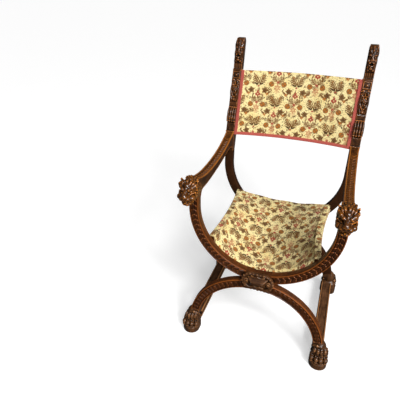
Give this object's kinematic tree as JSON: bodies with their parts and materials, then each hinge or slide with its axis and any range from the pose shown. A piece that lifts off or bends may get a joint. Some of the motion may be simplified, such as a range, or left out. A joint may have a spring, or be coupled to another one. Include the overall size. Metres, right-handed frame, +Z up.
{
  "type": "folding x-frame armchair",
  "caption": "Carved wooden X-frame armchair that folds at its crossing, with lion-head arms, paw feet, and a slung patterned cloth seat and back.",
  "frame": {"origin": "on the floor, midway between the front and the rear X-frame and between the left and the right arm", "axes": "+X to the right as the chair is seen from the front, +Y to the back, +Z up"},
  "size_m": [0.6086, 0.67, 1.12],
  "materials": {
    "carved_wood": "dark stained and waxed, carving worn to brown",
    "varnished_wood": "dark stained, glossy varnish",
    "plain_wood": "dark stained, satin",
    "dowel_wood": "raw",
    "iron": "blackened",
    "tapestry": "woven floral pattern",
    "braid": "woven braid"
  },
  "bodies": {
    "left_arm_frame": {"front_leg_left": "carved_wood", "rear_leg_left": "plain_wood", "rear_post_left": "carved_wood", "arm_left": "carved_wood", "lion_head_left": "varnished_wood", "seat_rail_left": "plain_wood", "floor_runner_right": "plain_wood", "front_paw_right": "varnished_wood", "rear_paw_right": "varnished_wood", "head_dowels_left": "dowel_wood", "frame_dowels_left": "dowel_wood", "paw_dowels_right": "dowel_wood", "seat_braid_left": "braid", "back_braid_left": "braid", "pivot_rod": "iron", "pivot_washers": "iron", "pivot_nut": "iron", "pivot_sleeve": "plain_wood", "front_cartouche": "varnished_wood", "rear_boss": "plain_wood", "seat_cloth": "tapestry", "back_cloth": "tapestry", "back_braid_bottom": "braid"},
    "right_arm_frame": {"front_leg_right": "carved_wood", "rear_leg_right": "plain_wood", "rear_post_right": "carved_wood", "arm_right": "carved_wood", "lion_head_right": "varnished_wood", "seat_rail_right": "plain_wood", "floor_runner_left": "plain_wood", "front_paw_left": "varnished_wood", "rear_paw_left": "varnished_wood", "head_dowels_right": "dowel_wood", "frame_dowels_right": "dowel_wood", "paw_dowels_left": "dowel_wood", "seat_braid_right": "braid", "back_braid_right": "braid"}
  },
  "joints": [
    {"name": "fold", "type": "hinge", "parent": "left_arm_frame", "child": "right_arm_frame", "pos_m": [0, 0, 0.3355], "axis": [0, -1, 0], "range_deg": [0, 30], "deforming": ["seat_cloth", "back_cloth", "back_braid_bottom"]}
  ]
}
